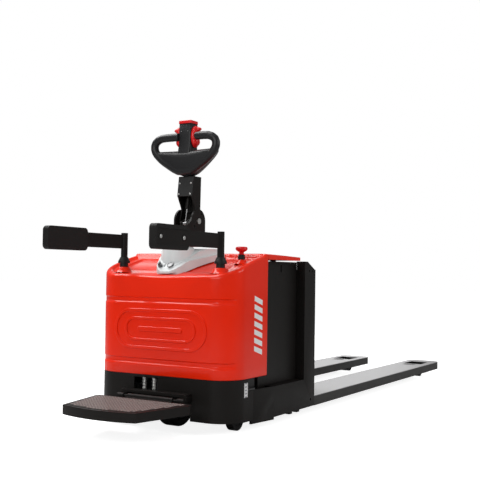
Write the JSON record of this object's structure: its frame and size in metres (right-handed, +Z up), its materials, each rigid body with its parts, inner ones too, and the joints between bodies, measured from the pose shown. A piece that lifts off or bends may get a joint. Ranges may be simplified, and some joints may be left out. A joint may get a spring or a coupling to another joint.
{
  "type": "electric rider pallet truck",
  "caption": "Electric pallet truck with a fold-up rider platform, swing-out side arms, steered tiller with ring handle, red hood and two long lifting forks on coupled load wheels.",
  "frame": {"origin": "centre of the bounding box's footprint, on the floor under the wheels, forks lowered, tiller upright, platform down and side arms forward", "axes": "+X from the operator's platform to the fork tips, +Y to the operator's left, +Z up"},
  "size_m": [3.055, 0.69, 1.2985],
  "materials": {
    "hood_red": "glossy moulded hood",
    "steel_black": "satin black powder coat",
    "steel_dark": "dark grey powder coat",
    "fork_grey": "light grey painted steel",
    "console_grey": "light grey moulded plastic",
    "plastic_black": "fine-grained black plastic",
    "control_red": "glossy red plastic",
    "rubber_black": "moulded rubber",
    "zinc": "zinc-plated steel",
    "cast_iron": "painted casting",
    "tyre_black": "polyurethane tread",
    "display": "dark gauge face",
    "battery_grey": "battery case"
  },
  "bodies": {
    "chassis": {"chassis_skirt": "steel_black", "chassis_frame": "steel_dark", "hood_cover": "hood_red", "console": "console_grey", "battery_gauge": "display", "e_stop_base": "plastic_black", "arm_socket_left": "rubber_black", "arm_socket_right": "rubber_black", "platform_bracket": "steel_black", "spring_left": "zinc", "spring_right": "zinc", "steer_bearing": "cast_iron", "lift_cylinder": "steel_dark"},
    "key": {"key_switch": "display"},
    "stop_button": {"emergency_stop": "control_red"},
    "steering": {"turntable": "cast_iron", "drive_motor": "steel_black", "gearbox": "cast_iron", "tiller_bracket": "steel_black", "pivot_pin": "zinc"},
    "drive_wheel": {"drive_hub": "cast_iron", "drive_tyre": "tyre_black"},
    "gas_rod": {"gas_spring_rod": "zinc"},
    "gas_tube": {"gas_spring_tube": "steel_black"},
    "tiller": {"tiller_arm": "steel_black", "arm_cover_plate": "steel_dark", "cover_screws": "zinc", "head_shell": "plastic_black", "ring_handle": "plastic_black"},
    "throttle": {"rocker_left": "control_red", "rocker_right": "control_red"},
    "belly": {"belly_button": "control_red"},
    "arm_left": {"side_arm_left": "steel_black", "arm_pad_left": "rubber_black", "pad_bolts_left": "zinc"},
    "arm_right": {"side_arm_right": "steel_black", "arm_pad_right": "rubber_black", "pad_bolts_right": "zinc"},
    "platform": {"platform_plate": "steel_black", "platform_mat": "rubber_black"},
    "lifting": {"fork_left": "fork_grey", "fork_right": "fork_grey", "fork_frame": "steel_black", "side_frame_left": "steel_black", "side_frame_right": "steel_black", "side_panel_left": "steel_black", "side_panel_right": "steel_black", "battery_pack": "battery_grey", "lift_rod": "zinc"},
    "lid": {"battery_lid": "hood_red"},
    "wheel_arm_left": {"load_arm_left": "steel_dark"},
    "wheel_arm_right": {"load_arm_right": "steel_dark"},
    "load_roller_left": {"load_wheel_left": "tyre_black"},
    "load_roller_right": {"load_wheel_right": "tyre_black"},
    "rod_left": {"push_rod_left": "zinc"},
    "rod_right": {"push_rod_right": "zinc"},
    "caster_left": {"caster_fork_left": "steel_dark"},
    "caster_right": {"caster_fork_right": "steel_dark"},
    "caster_roller_left": {"caster_wheel_left": "tyre_black"},
    "caster_roller_right": {"caster_wheel_right": "tyre_black"}
  },
  "joints": [
    {"name": "steer", "type": "hinge", "parent": "chassis", "child": "steering", "pos_m": [-0.9875, 0, 0.34], "axis": [0, 0, 1], "range_deg": [-90, 90]},
    {"name": "drive_spin", "type": "hinge", "parent": "steering", "child": "drive_wheel", "pos_m": [-0.9925, 0, 0.1], "axis": [0, 1, 0], "continuous": true},
    {"name": "tiller_pitch", "type": "hinge", "parent": "steering", "child": "tiller", "pos_m": [-0.9105, 0, 0.865], "axis": [0, 1, 0], "range_deg": [-50, 0], "stiffness_Nm_per_rad": 25, "springref_deg": 20.05},
    {"name": "gas_rod_swing", "type": "hinge", "parent": "steering", "child": "gas_rod", "pos_m": [-0.9435, 0, 0.853], "axis": [0, 1, 0], "range_deg": [-50, 0]},
    {"name": "gas_tube_slide", "type": "slide", "parent": "gas_rod", "child": "gas_tube", "axis": [0.1852, 0, 0.9827], "range_m": [-0.031, 0]},
    {"name": "throttle_turn", "type": "hinge", "parent": "tiller", "child": "throttle", "pos_m": [-0.9485, 0, 1.225], "axis": [0, 1, 0], "range_deg": [-20, 20], "stiffness_Nm_per_rad": 0.8},
    {"name": "belly_press", "type": "slide", "parent": "tiller", "child": "belly", "axis": [0, 0, 1], "range_m": [-0.004, 0], "stiffness_N_per_m": 600, "springref_m": 0.002},
    {"name": "key_turn", "type": "hinge", "parent": "chassis", "child": "key", "pos_m": [-1.0695, 0.037, 0.674], "axis": [-0.6947, 0, 0.7193], "range_deg": [0, 60]},
    {"name": "stop_press", "type": "slide", "parent": "chassis", "child": "stop_button", "axis": [0, 0, 1], "range_m": [-0.005, 0]},
    {"name": "arm_left_swing", "type": "hinge", "parent": "chassis", "child": "arm_left", "pos_m": [-1.0465, 0.247, 0.74], "axis": [0, 0, 1], "range_deg": [-90, 0]},
    {"name": "arm_right_swing", "type": "hinge", "parent": "chassis", "child": "arm_right", "pos_m": [-1.0465, -0.247, 0.74], "axis": [0, 0, 1], "range_deg": [0, 90]},
    {"name": "platform_fold", "type": "hinge", "parent": "chassis", "child": "platform", "pos_m": [-1.1705, 0, 0.135], "axis": [0, 1, 0], "range_deg": [0, 90]},
    {"name": "fork_lift", "type": "slide", "parent": "chassis", "child": "lifting", "axis": [0, 0, 1], "range_m": [0, 0.11]},
    {"name": "lid_open", "type": "hinge", "parent": "lifting", "child": "lid", "pos_m": [-0.5175, 0, 0.709], "axis": [0, 1, 0], "range_deg": [0, 80]},
    {"name": "load_arm_left_swing", "type": "hinge", "parent": "lifting", "child": "wheel_arm_left", "pos_m": [1.0592, 0.2435, 0.056], "axis": [0, 1, 0], "range_deg": [0, 26]},
    {"name": "load_wheel_left_spin", "type": "hinge", "parent": "wheel_arm_left", "child": "load_roller_left", "pos_m": [1.3185, 0.2435, 0.037], "axis": [0, 1, 0], "continuous": true},
    {"name": "push_rod_left_slide", "type": "slide", "parent": "lifting", "child": "rod_left", "axis": [1, 0, 0], "range_m": [-0.0085, 0]},
    {"name": "caster_left_swivel", "type": "hinge", "parent": "chassis", "child": "caster_left", "pos_m": [-0.9655, 0.262, 0.15], "axis": [0, 0, 1], "continuous": true},
    {"name": "caster_left_spin", "type": "hinge", "parent": "caster_left", "child": "caster_roller_left", "pos_m": [-0.9455, 0.262, 0.045], "axis": [0, 1, 0], "continuous": true},
    {"name": "load_arm_right_swing", "type": "hinge", "parent": "lifting", "child": "wheel_arm_right", "pos_m": [1.0592, -0.2435, 0.056], "axis": [0, 1, 0], "range_deg": [0, 26]},
    {"name": "load_wheel_right_spin", "type": "hinge", "parent": "wheel_arm_right", "child": "load_roller_right", "pos_m": [1.3185, -0.2435, 0.037], "axis": [0, 1, 0], "continuous": true},
    {"name": "push_rod_right_slide", "type": "slide", "parent": "lifting", "child": "rod_right", "axis": [1, 0, 0], "range_m": [-0.0085, 0]},
    {"name": "caster_right_swivel", "type": "hinge", "parent": "chassis", "child": "caster_right", "pos_m": [-0.9655, -0.262, 0.15], "axis": [0, 0, 1], "continuous": true},
    {"name": "caster_right_spin", "type": "hinge", "parent": "caster_right", "child": "caster_roller_right", "pos_m": [-0.9455, -0.262, 0.045], "axis": [0, 1, 0], "continuous": true}
  ],
  "couplings": [
    {"joint": "gas_rod_swing", "follows": "tiller_pitch", "ratio": 0.9772},
    {"joint": "gas_tube_slide", "follows": "tiller_pitch", "m_per_rad": 0.0338},
    {"joint": "load_arm_left_swing", "follows": "fork_lift", "rad_per_m": 4.0547},
    {"joint": "push_rod_left_slide", "follows": "fork_lift", "ratio": -0.0724},
    {"joint": "load_arm_right_swing", "follows": "fork_lift", "rad_per_m": 4.0547},
    {"joint": "push_rod_right_slide", "follows": "fork_lift", "ratio": -0.0724}
  ]
}
